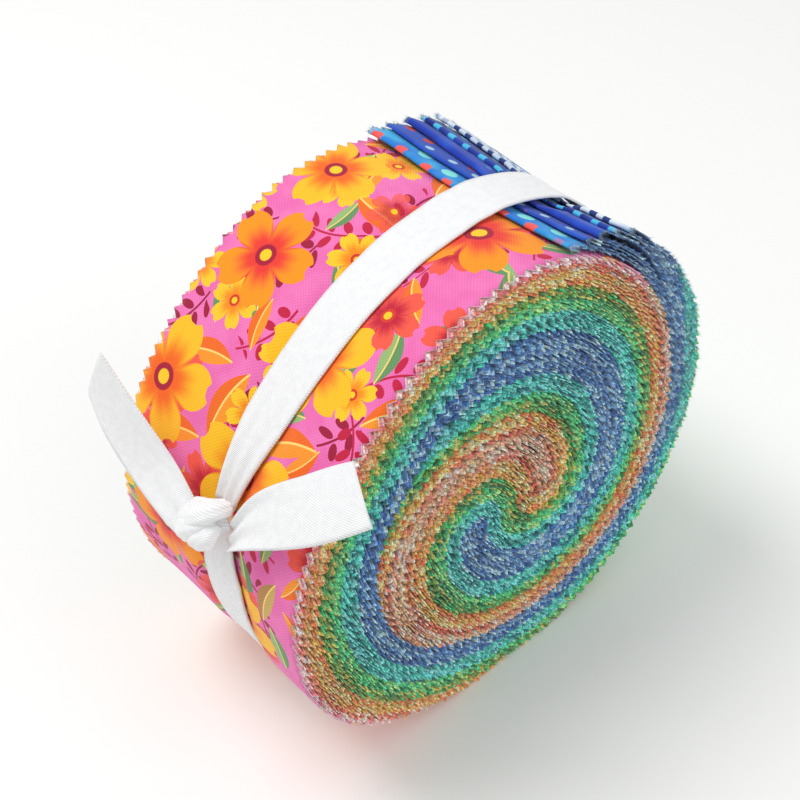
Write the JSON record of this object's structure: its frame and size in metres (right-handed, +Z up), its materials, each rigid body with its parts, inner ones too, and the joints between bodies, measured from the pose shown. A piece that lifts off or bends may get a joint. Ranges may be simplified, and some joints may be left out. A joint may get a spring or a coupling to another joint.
{
  "type": "roll of fabric strips tied with a ribbon",
  "caption": "Folded cotton quilting strips wound together from an S-shaped centre into a round roll, with loose folded ends on top, tied with a knotted twill ribbon.",
  "frame": {"origin": "middle of the bounding box's foot, on the surface that the roll stands on", "axes": "+X to the right across the roll's round end as pictured, +Y along the roll's axis away from that end, +Z up"},
  "size_m": [0.1422, 0.0788, 0.1279],
  "materials": {
    "wound_cotton": "layered cotton edges, matte",
    "strip_cotton": "printed plain-weave cotton, matte",
    "white_tape": "fine twill, matte"
  },
  "bodies": {
    "root": {"roll": "wound_cotton", "strip_end_1": "strip_cotton", "strip_end_2": "strip_cotton", "strip_end_3": "strip_cotton", "strip_end_4": "strip_cotton", "strip_end_5": "strip_cotton", "ribbon_band": "white_tape", "ribbon_knot": "white_tape", "ribbon_tail_front": "white_tape", "ribbon_tail_back": "white_tape"}
  },
  "joints": []
}
